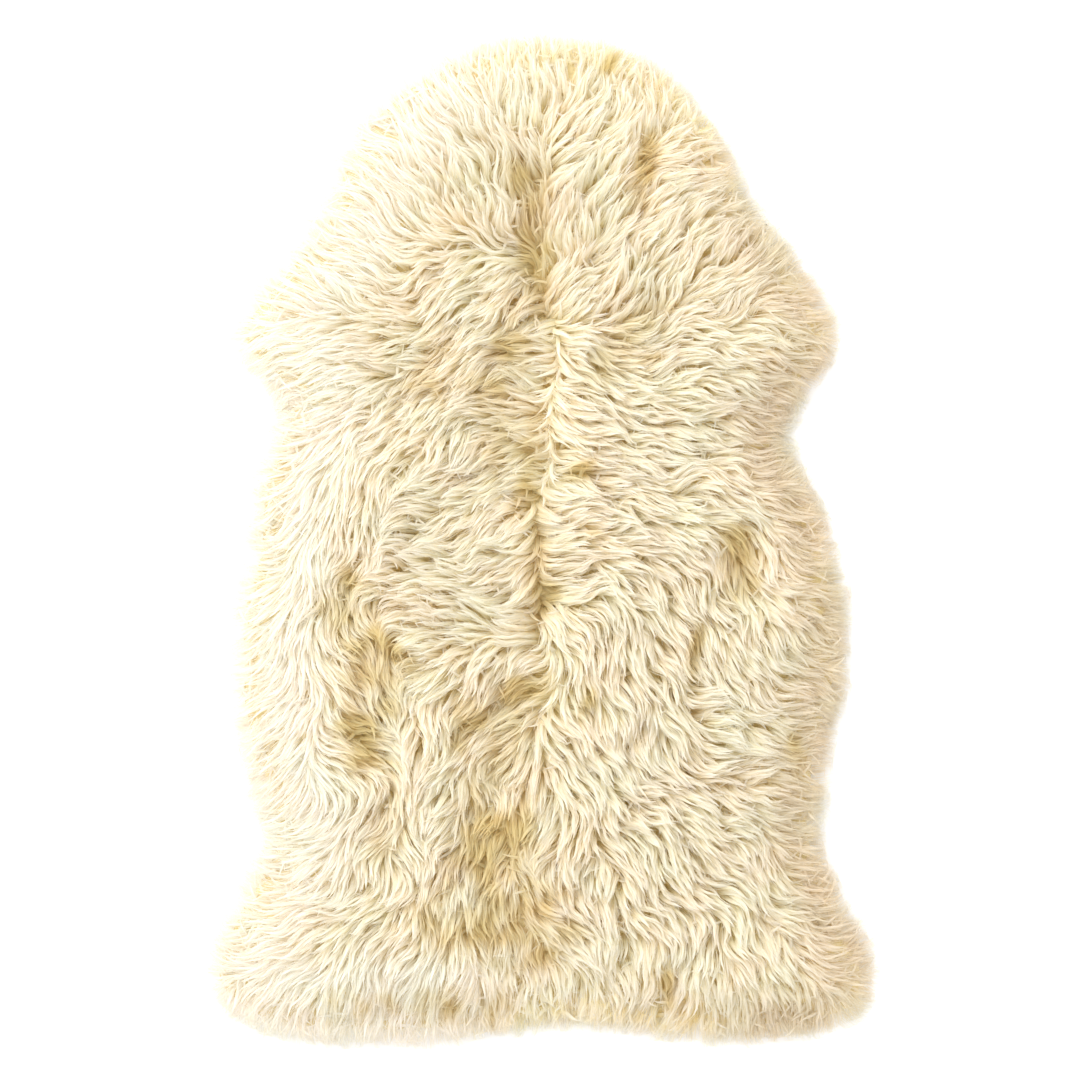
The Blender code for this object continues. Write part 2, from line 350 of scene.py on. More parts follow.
def measured_frame():
    """Fields of the wool's height, of how far in from the outline a place lies, and of the way outwards.

    "smooth" is the height without its dips.
    """
    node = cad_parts[NODE]
    low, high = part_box(NODE)
    low = np.array(low[:2]) - MARGIN
    high = np.array(high[:2]) + MARGIN
    counts = np.ceil((high - low) / CELL).astype(int) + 1
    corners = [v.co for v in node.data.vertices]
    tree = BVHTree.FromPolygons(corners, [tuple(p.vertices) for p in node.data.polygons])
    above = 1.0
    down = Vector((0, 0, -1))
    height = np.zeros(counts)
    inside = np.zeros(counts, bool)
    for i in range(counts[0]):
        for j in range(counts[1]):
            place = Vector((low[0] + i * CELL, low[1] + j * CELL, above))
            hit = tree.ray_cast(place, down)[0]
            if hit:
                height[i, j] = hit.z
                inside[i, j] = True
    edges = inside & ~(
        np.roll(inside, 1, 0) & np.roll(inside, -1, 0) & np.roll(inside, 1, 1) & np.roll(inside, -1, 1)
    )
    places = np.argwhere(edges)
    near = kdtree.KDTree(len(places))
    for k, (i, j) in enumerate(places):
        near.insert((low[0] + i * CELL, low[1] + j * CELL, 0), k)
    near.balance()
    inset = np.zeros(counts)
    for i in range(counts[0]):
        for j in range(counts[1]):
            gap = near.find((low[0] + i * CELL, low[1] + j * CELL, 0))[2]
            inset[i, j] = gap if inside[i, j] else -gap
    inset = blurred(inset, reach=2)
    slope_x, slope_y = np.gradient(blurred(inset, reach=4), CELL)

    # Past the outline the wool falls away from the height of its rim.
    rim = 0.016
    lowest = 0.003
    fall = 1.2
    drop = np.clip(rim + fall * inset, lowest, rim)
    height = np.where(inside, height, drop)
    return {
        "height": Field(height, low, CELL),
        "smooth": Field(blurred(height, reach=12), low, CELL),
        "inset": Field(inset, low, CELL),
        "out_x": Field(-slope_x, low, CELL),
        "out_y": Field(-slope_y, low, CELL),
    }


def cloud(cell):
    """A smooth random field from about -1 to 1, with bumps of about the size of cell."""
    low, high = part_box(NODE)
    low = np.array(low[:2]) - MARGIN - cell
    high = np.array(high[:2]) + MARGIN + cell
    counts = np.ceil((high - low) / cell).astype(int) + 2
    fine = 4  # cells of the finished field to one of these
    gain = 1.4  # blurring flattens the bumps, and this brings them back to full height
    coarse = Field(rng.uniform(-1, 1, counts), low, cell)
    x = low[0] + np.arange((counts[0] - 1) * fine) * cell / fine
    y = low[1] + np.arange((counts[1] - 1) * fine) * cell / fine
    grid_x, grid_y = np.meshgrid(x, y, indexing="ij")
    return Field(gain * blurred(coarse(grid_x, grid_y), reach=2), low, cell / fine)


def combed(ground, clouds):
    """Fields of the way the wool is combed, and of how firmly, from 0 to 1."""
    core = 0.05  # keeps a row's pull finite at its own place
    calm_share = 0.55  # how much less the wool strays at the outline, and how far in that reaches
    calm_reach = 0.03
    low = ground["inset"].low
    counts = ground["inset"].values.shape
    line_x = low[0] + np.arange(counts[0]) * CELL
    line_y = low[1] + np.arange(counts[1]) * CELL
    x, y = np.meshgrid(line_x, line_y, indexing="ij")
    inset = np.maximum(ground["inset"].values, 0)
    wander_x = x + SEAM_WANDER * clouds["middle"](x, y)
    wander_y = y + SEAM_WANDER * clouds["middle"](y, x)
    sum_x = np.zeros_like(x)
    sum_y = np.zeros_like(x)
    total = np.zeros_like(x) + 1e-9
    for row in COMB:
        row = dict(zip(COMB_COLUMNS, row))
        gap = ((wander_x - row["x"]) ** 2 + (wander_y - row["y"]) ** 2) / row["reach"] ** 2
        pull = 1 / (core + gap**2)
        if row["side"]:
            pull *= step(-SEAM_WIDTH / 2, SEAM_WIDTH / 2, row["side"] * (wander_x - SEAM_X))
        sum_x += pull * np.cos(np.radians(row["heading"]))
        sum_y += pull * np.sin(np.radians(row["heading"]))
        total += pull
    outwards = EDGE_PULL * np.exp(-((inset / EDGE_COMB) ** 2))
    sum_x = sum_x / total + outwards * ground["out_x"].values
    sum_y = sum_y / total + outwards * ground["out_y"].values
    swirl = SWIRL_WIDE * clouds["wide"](x, y) + SWIRL_MIDDLE * clouds["middle"](x, y)
    swirl = swirl + SWIRL_WAVY * clouds["wavy"](x, y)
    swirl = swirl * (1 - calm_share * np.exp(-inset / calm_reach))
    angle = np.arctan2(sum_y, sum_x) + np.radians(swirl)
    return {
        "way_x": Field(np.cos(angle), low, CELL),
        "way_y": Field(np.sin(angle), low, CELL),
        "firm": Field(np.minimum(np.hypot(sum_x, sum_y), 1), low, CELL),
    }


def shade_at(clouds, x, y):
    """How much golden painted shade the wool has at a place, frayed at the edges, and how pale it is, as
    painted light, both from 0 to 1.
    """
    golden_shade = np.zeros_like(x)
    pale = np.zeros_like(x)
    for row in SHADES:
        row = dict(zip(SHADE_COLUMNS, row))
        lean = np.radians(row["lean"])
        gap_x = x - row["x"]
        gap_y = y - row["y"]
        along = (gap_x * np.cos(lean) + gap_y * np.sin(lean)) / row["along"]
        across = (gap_y * np.cos(lean) - gap_x * np.sin(lean)) / row["across"]
        depth = row["golden_shade"] * np.exp(-(along**2) - across**2)
        golden_shade = np.maximum(golden_shade, depth)
        pale = np.maximum(pale, -depth)
    fray = FRAY_NARROW * clouds["narrow"](x, y) + FRAY_MIDDLE * clouds["middle"](x, y)
    golden_shade = golden_shade + fray * step(0, 0.3, golden_shade)
    return step(*GOLD_EDGE, golden_shade), step(*PALE_EDGE, pale)


def margins_at(ground, x, y):
    """How far a place lies in the left margin and in the right one, from 0 to 1."""
    inset = ground["inset"](x, y)
    left = step(*LEFT_MARGIN["x"], x) * step(*LEFT_MARGIN["inset"], inset)
    right = step(*RIGHT_MARGIN["x"], x) * step(*RIGHT_MARGIN["inset"], inset)
    return left, right


def softness_at(ground, x, y):
    """From 0 where the wool lies in crisp locks to 1 where it is fluffy."""
    return np.maximum(*margins_at(ground, x, y))


# ---------------------------------------------------------------- locks


def scattered(spacing, ground, least):
    """Places on a jittered grid over the rug, at least so far in from the outline."""
    low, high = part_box(NODE)
    rows = np.arange(low.y, high.y, spacing * ROW_GAP)
    columns = np.arange(low.x, high.x, spacing)
    x, y = np.meshgrid(columns, rows)
    x = x + (np.arange(len(rows)) % 2)[:, None] * spacing / 2
    x = (x + rng.uniform(-JITTER, JITTER, x.shape) * spacing).ravel()
    y = (y + rng.uniform(-JITTER, JITTER, y.shape) * spacing).ravel()
    kept = ground["inset"](x, y) > least
    return x[kept], y[kept]


def nearest(x, y, centre_x, centre_y):
    """The index of the nearest centre to each place."""
    tree = kdtree.KDTree(len(centre_x))
    for k in range(len(centre_x)):
        tree.insert((centre_x[k], centre_y[k], 0), k)
    tree.balance()
    return np.array([tree.find((a, b, 0))[1] for a, b in zip(x, y)])


def tufts_of(x, y, tufts):
    """For each place: the way to its tuft's middle, how far off that is, and the tuft's turn and tone."""
    tuft = nearest(x, y, tufts["x"], tufts["y"])
    gap_x = tufts["x"][tuft] - x
    gap_y = tufts["y"][tuft] - y
    share = np.hypot(gap_x, gap_y) / (TUFT_SPACING / 2)
    return gap_x, gap_y, share, tufts["turn"][tuft], tufts["tone"][tuft]


def crimps(count):
    """The crimp that the strands of each lock share."""
    return {
        "crimp_length": between(*CRIMP_LENGTH, rng.random(count)),
        "crimp": between(*CRIMP_HEIGHT, rng.random(count)),
        "phase": rng.random(count),
    }


def back_locks(ground, clouds, tufts):
    """The locks that cover the rug."""
    x, y = scattered(LOCK_SPACING, ground, LOCK_INSET)
    count = len(x)
    inset = ground["inset"](x, y)
    soft = softness_at(ground, x, y)
    golden_shade, pale = shade_at(clouds, x, y)
    gap_x, gap_y, gap, tuft_turn, tuft_tone = tufts_of(x, y, tufts)
    heading = np.arctan2(ground["way_y"](x, y), ground["way_x"](x, y))
    turn = TUFT_TURN * tuft_turn + rng.normal(0, LOCK_TURN, count)
    deviation = np.radians(turn * (1 - CALM * soft))

    # Where the wool is combed two ways at once, the locks are short.
    firm = step(*LOCK_FIRM, ground["firm"](x, y))
    length = between(*LOCK_LENGTH, rng.random(count)) * between(LOCK_LEAST_SHARE, 1, firm)
    by_seam = np.exp(-(((x - SEAM_X) / SEAM_REACH) ** 2)) * (x < SEAM_X)
    back = ROOT_SHIFT * length * (1 - SEAM_ROOT * by_seam)

    # The tips lie close to the top, lower at the rim, between tufts and where the wool is painted with
    # golden shade.
    rim = step(*RIM, inset)
    smooth = np.maximum(soft, pale)
    least, most = LOCK_LEVEL
    least = between(least, LOCK_LEVEL_SMOOTH, smooth)
    level = rng.uniform(least, most, count) * (1 - rim) + rng.uniform(*LOCK_LEVEL_RIM, count) * rim
    lowest = 0.02  # keeps the relief's share of a low rim small
    height = np.maximum(ground["height"](x, y), lowest)
    relief = TUFT_RELIEF * np.minimum(gap, TUFT_REACH) ** 2 * (1 - TUFT_CALM * smooth)
    level = level - relief / height - GOLD_SINK * golden_shade * (1 - rim)
    return {
        "x": x - back * np.cos(heading + deviation),
        "y": y - back * np.sin(heading + deviation),
        "heading": heading + deviation,
        "deviation": deviation,
        "follow": np.full(count, FOLLOW),
        "length": length,
        "level": level,
        "root": LOCK_ROOT * level,
        "pull_x": TUFT_PULL * gap_x * (1 - CALM * soft),
        "pull_y": TUFT_PULL * gap_y * (1 - CALM * soft),
        "soft": soft,
        # Locks are lighter, as painted light, where a SHADES row is negative.
        "tone": rng.normal(0, LOCK_TONE, count) + TUFT_TONE * tuft_tone + PAINTED_LIGHT_TONE * pale,
        "reach": 0.001 + FRINGE_UNEVEN * np.maximum(clouds["middle"](x, y), 0),
        **crimps(count),
    }


def under_locks(ground, clouds):
    """Shorter locks that fill the gaps between those above."""
    x, y = scattered(UNDER_SPACING, ground, UNDER_INSET)
    count = len(x)
    golden_shade, _ = shade_at(clouds, x, y)
    deviation = rng.normal(0, UNDER_TURN_RADIANS, count)
    level = rng.uniform(*UNDER_LEVEL, count) - UNDER_SINK * GOLD_SINK * golden_shade
    return {
        "x": x,
        "y": y,
        "heading": np.arctan2(ground["way_y"](x, y), ground["way_x"](x, y)) + deviation,
        "deviation": deviation,
        "follow": np.full(count, FOLLOW_UNDER),
        "length": between(*UNDER_LENGTH, rng.random(count)),
        "level": level,
        "root": UNDER_ROOT * level,
        "pull_x": np.zeros(count),
        "pull_y": np.zeros(count),
        "soft": softness_at(ground, x, y),
        # darker on average, as painted shade under the locks above
        "tone": rng.normal(*UNDER_TONE_AND_SHADE, count),
        "reach": np.full(count, 0.0),
        **crimps(count),
    }


def fringe_locks(ground, clouds):
    """The locks that stand out along the edge, at every height."""
    x, y = scattered(FRINGE_SPACING, ground, FRINGE_INSET)
    near = ground["inset"](x, y) < FRINGE_INSET + FRINGE_DEPTH
    kept = near & (rng.random(len(x)) < FRINGE_LAYERS * FRINGE_SPACING / FRINGE_DEPTH)
    x = x[kept]
    y = y[kept]
    count = len(x)
    deviation = rng.normal(0, FRINGE_TURN_RADIANS, count)
    heading = np.arctan2(ground["out_y"](x, y), ground["out_x"](x, y)) + deviation
    level = rng.uniform(*FRINGE_LEVEL, count)
    uneven = FRINGE_UNEVEN * clouds["middle"](x, y)
    return {
        "x": x,
        "y": y,
        "heading": heading + FRINGE_SWAY_RADIANS * clouds["wavy"](x, y),
        "deviation": deviation,
        "follow": np.full(count, FOLLOW_FRINGE),
        "length": between(*FRINGE_LENGTH, rng.random(count)),
        "level": level,
        "root": FRINGE_ROOT * level,
        "pull_x": np.zeros(count),
        "pull_y": np.zeros(count),
        "soft": np.maximum(softness_at(ground, x, y), FRINGE_SOFT),
        "tone": rng.normal(0, FRINGE_TONE, count),
        "reach": np.maximum(FRINGE_REACH * rng.uniform(*FRINGE_REACH_SHARES, count) + uneven, 0),
        **crimps(count),
    }


def joined(groups):
    """Several groups of strands as one."""
    return {key: np.concatenate([group[key] for group in groups]) for key in groups[0]}


# ---------------------------------------------------------------- strands


def grown(ground, lock, length, deviation):
    """The middle lines of strands, from their lock's root, and the heading at each point.

    Past its root part a strand turns with the way the wool is combed.
    """
    x = lock["x"]
    y = lock["y"]
    way_x = np.cos(lock["heading"])
    way_y = np.sin(lock["heading"])
    lines_x = [x]
    lines_y = [y]
    ways = [lock["heading"]]
    for start, share in zip(STRAND_STEPS, np.diff(STRAND_STEPS)):
        follow = lock["follow"] * (start > ROOT_PART)
        angle = np.arctan2(ground["way_y"](x, y), ground["way_x"](x, y)) + deviation
        way_x = way_x + follow * (np.cos(angle) - way_x)
        way_y = way_y + follow * (np.sin(angle) - way_y)
        long = np.maximum(np.hypot(way_x, way_y), 0.05)
        way_x = way_x / long
        way_y = way_y / long
        x = x + way_x * share * length
        y = y + way_y * share * length
        lines_x.append(x)
        lines_y.append(y)
        ways.append(np.arctan2(way_y, way_x))
    return np.stack(lines_x, 1), np.stack(lines_y, 1), np.stack(ways, 1)


def strand_paths(locks, ground, kind):
    """The middle line of every strand of a kind, as arrays of strand by point, with facts about each."""
    kinds = {row[0]: dict(zip(STRAND_COLUMNS, row)) for row in STRAND_KINDS}
    made_of = kinds[kind]
    owner = np.repeat(np.arange(len(locks["x"])), made_of["count"])
    count = len(owner)
    lock = {key: values[owner] for key, values in locks.items()}
    u = np.array(STRAND_STEPS)[None, :]
    soft = lock["soft"][:, None]

    own = rng.random((count, 6))
    crimp_length = lock["crimp_length"][:, None]
    crimp = lock["crimp"][:, None] * (1 - CRIMP_CALM * soft)
    phase = (lock["phase"] + CRIMP_STRAY * own[:, 0])[:, None]

    length = lock["length"] * between(*STRAND_LENGTHS, own[:, 1])
    spread = np.radians(between(-STRAND_SPREAD, STRAND_SPREAD, own[:, 2])) * (1 + lock["soft"])
    line_x, line_y, heading = grown(ground, lock, length, lock["deviation"] + spread)
    length = length[:, None]

    # Strands start round the lock's root and gather towards its tip.
    angle = 2 * np.pi * own[:, 3]
    radius = made_of["radius"] * np.sqrt(own[:, 4])
    gather = 1 - between(*GATHER, soft) * u**1.2
    aside = (radius * np.cos(angle))[:, None] * gather
    rise = (radius * np.sin(angle))[:, None] * gather * FLATNESS

    # The crimp grows from nothing at the root.
    wave = 2 * np.pi * (u * length / crimp_length + phase)
    grown_in = step(0, CRIMP_GROWN, u)
    aside = aside + crimp * np.sin(wave) * grown_in
    rise = rise + CRIMP_RISE * crimp * np.cos(wave + CRIMP_LAG) * grown_in

    x = line_x - np.sin(heading) * aside + lock["pull_x"][:, None] * u
    y = line_y + np.cos(heading) * aside + lock["pull_y"][:, None] * u

    # What would pass the outline is drawn back to it.
    past = np.maximum(-ground["inset"](x, y) - lock["reach"][:, None], 0)
    x = x - ground["out_x"](x, y) * past
    y = y - ground["out_y"](x, y) * past

    share = between(lock["root"][:, None], lock["level"][:, None], 1 - (1 - u) ** 2)
    z = ground["height"](x, y) * share + rise
    z = np.maximum(z, FLOOR_GAP + FLOOR_STRAY * own[:, :1])
    return {
        "x": x,
        "y": y,
        "z": z,
        "width": made_of["width"] * between(*STRAND_WIDTHS, own[:, 5]),
        "length": length[:, 0],
        "soft": lock["soft"],
        "tone": lock["tone"] + rng.normal(0, STRAND_TONE, count),
    }


def unit(vectors):
    """The vectors, each scaled to length 1."""
    return vectors / np.maximum(np.linalg.norm(vectors, axis=-1, keepdims=True), 1e-12)


def ribbons(strands):
    """The corners of each strand's tapered ribbon, and the normals that light it as round."""
    path = np.stack([strands["x"], strands["y"], strands["z"]], -1)
    count, points = path.shape[:2]
    way = unit(np.gradient(path, axis=1))
    up = np.array([0.0, 0.0, 1.0])
    side = unit(np.cross(way, up))
    face = np.cross(side, way)
    roll = np.radians(rng.normal(0, STRAND_ROLL, count))[:, None, None]
    across = side * np.cos(roll) + face * np.sin(roll)
    normal = unit(np.cross(across, way))

    u = np.array(STRAND_STEPS)
    taper = (1 - u**2) * between(STRAND_ROOT_WIDTH, 1.0, step(0, ROOT_PART, u))
    width = strands["width"][:, None] * (1 - STRAND_THINNED * strands["soft"][:, None]) * taper
    half = across * width[..., None] / 2

    paired = 2 * points - 2
    corners = np.empty((count, paired + 1, 3))
    corners[:, 0:paired:2] = (path - half)[:, :-1]
    corners[:, 1:paired:2] = (path + half)[:, :-1]
    corners[:, -1] = path[:, -1]
    corners[..., 2] = np.maximum(corners[..., 2], FLOOR_GAP / 2)
    normals = np.empty_like(corners)
    normals[:, 0:paired:2] = unit(normal - STRAND_ROUND * across)[:, :-1]
    normals[:, 1:paired:2] = unit(normal + STRAND_ROUND * across)[:, :-1]
    normals[:, -1] = normal[:, -1]
    return corners, normals


def ribbon_mesh(name, corners):
    """One mesh of all the ribbons, of quads with a triangle at each tip, and its faces' corners."""
    count, each = corners.shape[:2]
    start = np.arange(count)[:, None] * each
    first = np.arange(0, each - 3, 2)[None, :]
    quads = np.stack([first, first + 1, first + 3, first + 2], -1) + start[..., None]
    tips = start + np.arange(each - 3, each)
    loops = np.concatenate([quads.reshape(count, -1), tips], 1).ravel()
    sizes = np.tile(np.array([4] * first.size + [3]), count)
    starts = np.concatenate([[0], np.cumsum(sizes)[:-1]])

    mesh = bpy.data.meshes.new(name)
    mesh.vertices.add(count * each)
    mesh.vertices.foreach_set("co", corners.astype(np.float32).ravel())
    mesh.loops.add(len(loops))
    mesh.loops.foreach_set("vertex_index", loops.astype(np.int32))
    mesh.polygons.add(len(sizes))
    mesh.polygons.foreach_set("loop_start", starts.astype(np.int32))
    mesh.polygons.foreach_set("loop_total", sizes.astype(np.int32))
    mesh.update(calc_edges=True)
    return mesh, loops


def ribbon_places():
    """How far along a strand each corner of its ribbon lies, and how far across, from 0 to 1."""
    u = np.array(STRAND_STEPS)
    along = np.append(np.repeat(u[:-1], 2), u[-1])
    across = np.append(np.tile([0.0, 1.0], len(u) - 1), 0.5)
    return along, across


def add_wool_facts(mesh, strands, corners, ground, clouds):
    """The numbers from which the wool's material works out its colour, with its painted light and painted
    shade.
    """
    count, each = corners.shape[:2]
    x = corners[..., 0]
    y = corners[..., 1]
    inset = ground["inset"](x, y)
    left_margin, right_margin = margins_at(ground, x, y)
    rim = step(PALE_RIM, -PALE_RIM, inset)

    # Wool that lies lower than what is round it gets a little golden painted shade.
    dip = step(0, DIP_DEPTH, ground["smooth"](x, y) - ground["height"](x, y))
    dip *= step(*DIP_INSET, inset)
    add_facts(mesh, "along", np.tile(ribbon_places()[0], (count, 1)))
    add_facts(mesh, "tone", np.repeat(strands["tone"], each))
    # Pale painted light along the left margin and pale at the outline, and tan painted shade along the
    # right margin.
    add_facts(mesh, "pale", np.maximum(left_margin, rim))
    add_facts(mesh, "tan_shade", right_margin)
    add_facts(mesh, "golden_shade", np.maximum(shade_at(clouds, x, y)[0], DIP_SHADE * dip))


def add_wool_maps(mesh, strands, loops):
    """A map with a cell for each strand, and one in metres along and across the strands."""
    count = len(strands["x"])
    along, across = ribbon_places()
    columns = int(np.ceil(np.sqrt(count * 4)))
    lines = int(np.ceil(count / columns))
    cell = np.arange(count)
    side_gap = 0.15
    end_gap = 0.03
    map_u = (cell % columns)[:, None] + between(side_gap, 1 - side_gap, across)[None, :]
    map_v = (cell // columns)[:, None] + between(end_gap, 1 - end_gap, along)[None, :]
    atlas = np.stack([map_u / columns, map_v / lines], -1).reshape(-1, 2)
    add_map(mesh, "OFBake", atlas[loops])
    seat = rng.random((count, 2, 1))
    fibre_u = across[None, :] * strands["width"][:, None] + seat[:, 0]
    fibre_v = along[None, :] * strands["length"][:, None] + seat[:, 1]
    add_map(mesh, "fibre", np.stack([fibre_u, fibre_v], -1).reshape(-1, 2)[loops])


def strand_mesh(name, strands, ground, clouds):
    """One mesh of the strands as ribbons, with maps and facts for the material."""
    corners, normals = ribbons(strands)
    mesh, loops = ribbon_mesh(name, corners)
    add_wool_facts(mesh, strands, corners, ground, clouds)
    add_wool_maps(mesh, strands, loops)
    mesh.polygons.foreach_set("use_smooth", np.ones(len(mesh.polygons), bool))
    mesh.normals_split_custom_set_from_vertices(normals.reshape(-1, 3).astype(np.float32))
    return mesh


def add_map(mesh, name, places):
    """A map with a place for each face corner."""
    layer = mesh.uv_layers.new(name=name)
    layer.uv.foreach_set("vector", places.astype(np.float32).ravel())


def add_facts(mesh, name, values):
    """A number for each vertex, which the material reads."""
    made = mesh.attributes.new(name, "FLOAT", "POINT")
    made.data.foreach_set("value", np.asarray(values, np.float32).ravel())


# ---------------------------------------------------------------- the skin and the underwool


def welded_node():
    """The frame's node as one connected mesh."""
    mesh = bmesh.new()
    mesh.from_mesh(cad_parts[NODE].data)
    bmesh.ops.remove_doubles(mesh, verts=mesh.verts, dist=1e-6)
    return mesh


def underwool_mesh(ground, clouds):
    """The dense short wool under the locks: the frame's shape, drawn in and lowered, and rough."""
    mesh = welded_node()
    bmesh.ops.subdivide_edges(mesh, edges=mesh.edges, cuts=1, use_grid_fill=True)
    bmesh.ops.triangulate(mesh, faces=mesh.faces)
    data = bpy.data.meshes.new("underwool")
    mesh.to_mesh(data)
    mesh.free()
    places = np.empty(len(data.vertices) * 3)
    data.vertices.foreach_get("co", places)
    places = places.reshape(-1, 3)
    x, y, z = places.T
    inset = np.maximum(ground["inset"](x, y), 0)
    draw = UNDERWOOL_INSET * step(UNDERWOOL_DRAWN, 0.0, inset)
    new_x = x - ground["out_x"](x, y) * draw
    new_y = y - ground["out_y"](x, y) * draw
    rough = UNDERWOOL_ROUGH * (clouds["narrow"](x, y) + clouds["middle"](x, y))
    skin_top = HIDE_LIFT + HIDE_THICKNESS
    raised = skin_top + z * UNDERWOOL_SHARE + rough * step(0, 0.03, z)
    new_z = np.where(z > 1e-4, np.maximum(raised, skin_top), skin_top)
    data.vertices.foreach_set("co", np.stack([new_x, new_y, new_z], -1).astype(np.float32).ravel())
    data.update()
    data.shade_smooth()
    return data


def hide_mesh(ground):
    """The tanned skin: a thin flat sheet in the pelt's outline."""
    mesh = welded_node()
    above = [v for v in mesh.verts if v.co.z > 1e-5]
    bmesh.ops.delete(mesh, geom=above, context="VERTS")
    # Each of four moves goes half of the way that is still to go to the skin's edge.
    for corner in mesh.verts:
        x = np.array([corner.co.x])
        y = np.array([corner.co.y])
        for _ in range(4):
            short = (HIDE_INSET - ground["inset"](x, y)) / 2
            x = x - ground["out_x"](x, y) * short
            y = y - ground["out_y"](x, y) * short
        corner.co = (x[0], y[0], HIDE_LIFT)
    made = bmesh.ops.extrude_face_region(mesh, geom=mesh.faces[:])
    top = [item for item in made["geom"] if isinstance(item, bmesh.types.BMVert)]
    bmesh.ops.translate(mesh, verts=top, vec=(0, 0, HIDE_THICKNESS))
    bmesh.ops.recalc_face_normals(mesh, faces=mesh.faces)
    data = bpy.data.meshes.new("hide")
    mesh.to_mesh(data)
    mesh.free()
    return data


# ---------------------------------------------------------------- materials


def new_material(name, roughness):
    """A material with its nodes, links and Principled shader, at a roughness."""
    material = bpy.data.materials.new(name)
    material.use_nodes = True
    nodes = material.node_tree.nodes
    surface = nodes["Principled BSDF"]
    surface.inputs["Roughness"].default_value = roughness
    return material, nodes, material.node_tree.links, surface


def fact(nodes, name):
    """The socket of a number that the mesh holds."""
    node = nodes.new("ShaderNodeAttribute")
    node.attribute_name = name
    return node.outputs["Fac"]


def ramp(nodes, links, factor, stops):
    """A socket of colours along a factor."""
    node = nodes.new("ShaderNodeValToRGB")
    elements = node.color_ramp.elements
    while len(elements) < len(stops):
        elements.new(0.5)
    for element, (position, colour) in zip(elements, stops):
        element.position = position
        element.color = (*colour, 1)
    links.new(factor, node.inputs["Fac"])
    return node.outputs["Color"]


def mix(nodes, links, factor, first, second, way="MIX"):
    """A socket of two colours mixed by a factor, each of the three a socket or a fixed value."""
    node = nodes.new("ShaderNodeMix")
    node.data_type = "RGBA"
    node.blend_type = way
    sockets = (node.inputs[0], node.inputs[6], node.inputs[7])  # the factor and the two colours
    for socket, value in zip(sockets, (factor, first, second)):
        if isinstance(value, bpy.types.NodeSocket):
            links.new(value, socket)
        else:
            socket.default_value = value
    return node.outputs[2]


def scaled(nodes, links, value, old, new):
    """A socket of a number moved from its old range to a new one."""
    node = nodes.new("ShaderNodeMapRange")
    links.new(value, node.inputs["Value"])
    for name, bound in zip(("From Min", "From Max", "To Min", "To Max"), (*old, *new)):
        node.inputs[name].default_value = bound
    return node.outputs["Result"]


def noise(nodes, links, scale, detail):
    """A socket of fine random variation over the object."""
    place = nodes.new("ShaderNodeTexCoord")
    node = nodes.new("ShaderNodeTexNoise")
    node.inputs["Scale"].default_value = scale
    node.inputs["Detail"].default_value = detail
    links.new(place.outputs["Object"], node.inputs["Vector"])
    return node.outputs["Fac"]


def fibres(nodes, links):
    """A socket of fine streaks that run along each strand."""
    place = nodes.new("ShaderNodeUVMap")
    place.uv_map = "fibre"
    stretch = nodes.new("ShaderNodeVectorMath")
    stretch.operation = "MULTIPLY"
    links.new(place.outputs["UV"], stretch.inputs[0])
    across, along = 1300, 60  # streaks to a metre
    stretch.inputs[1].default_value = (across, along, 1)
    node = nodes.new("ShaderNodeTexNoise")
    node.inputs["Scale"].default_value = 1.0
    node.inputs["Detail"].default_value = 1.0
    links.new(stretch.outputs["Vector"], node.inputs["Vector"])
    return node.outputs["Fac"]


def wool_material():
    """Wool: golden at the root and cream at the tip, no two strands quite alike, and lit through, under
    golden and tan painted shade, pale painted light, and painted shade between its fibres.
    """
    material, nodes, links, surface = new_material("wool", roughness=0.62)
    stops = ((0.0, ROOT_COLOUR), (0.35, MIDDLE_COLOUR), (0.80, TIP_COLOUR))
    colour = ramp(nodes, links, fact(nodes, "along"), stops)
    # Tan painted shade on the right margin; pale painted light on the left margin, also pale at the
    # outline; golden painted shade where the wool parts or lies low.
    covers = (
        ("tan_shade", TAN_SHADE_SHARE, TAN_SHADE_COLOUR),
        ("pale", PALE_SHARE, PALE_COLOUR),
        ("golden_shade", GOLDEN_SHADE_SHARE, GOLDEN_SHADE_COLOUR),
    )
    for name, most, cover in covers:
        share = scaled(nodes, links, fact(nodes, name), (0, 1), (0, most))
        colour = mix(nodes, links, share, colour, (*cover, 1))
    streak = fibres(nodes, links)
    # Painted shade in the fine lines between the fibres, where the streaks run low.
    thin = scaled(nodes, links, streak, (0.38, 0.55), (1, 0))
    colour = mix(nodes, links, thin, colour, (*STREAK_SHADE_COLOUR, 1), "MULTIPLY")
    patches = noise(nodes, links, scale=26, detail=1)
    tint = ramp(nodes, links, patches, ((0.36, ROSY_TINT), (0.64, GREEN_TINT)))
    colour = mix(nodes, links, 1.0, colour, tint, "MULTIPLY")
    tone = scaled(nodes, links, fact(nodes, "tone"), (-1.5, 1.5), (0.94, 1.02))
    colour = mix(nodes, links, 1.0, colour, tone, "MULTIPLY")
    links.new(colour, surface.inputs["Base Color"])
    surface.inputs["Specular IOR Level"].default_value = 0.25
    surface.inputs["Sheen Weight"].default_value = 0.1
    surface.inputs["Sheen Roughness"].default_value = 0.5
    bump = nodes.new("ShaderNodeBump")
    bump.inputs["Distance"].default_value = 0.00006
    links.new(streak, bump.inputs["Height"])
    links.new(bump.outputs["Normal"], surface.inputs["Normal"])
    through = nodes.new("ShaderNodeBsdfTranslucent")
    links.new(colour, through.inputs["Color"])
    both = nodes.new("ShaderNodeMixShader")
    both.inputs["Fac"].default_value = THROUGH_LIGHT
    links.new(surface.outputs["BSDF"], both.inputs[1])
    links.new(through.outputs["BSDF"], both.inputs[2])
    links.new(both.outputs["Shader"], nodes["Material Output"].inputs["Surface"])
    return material


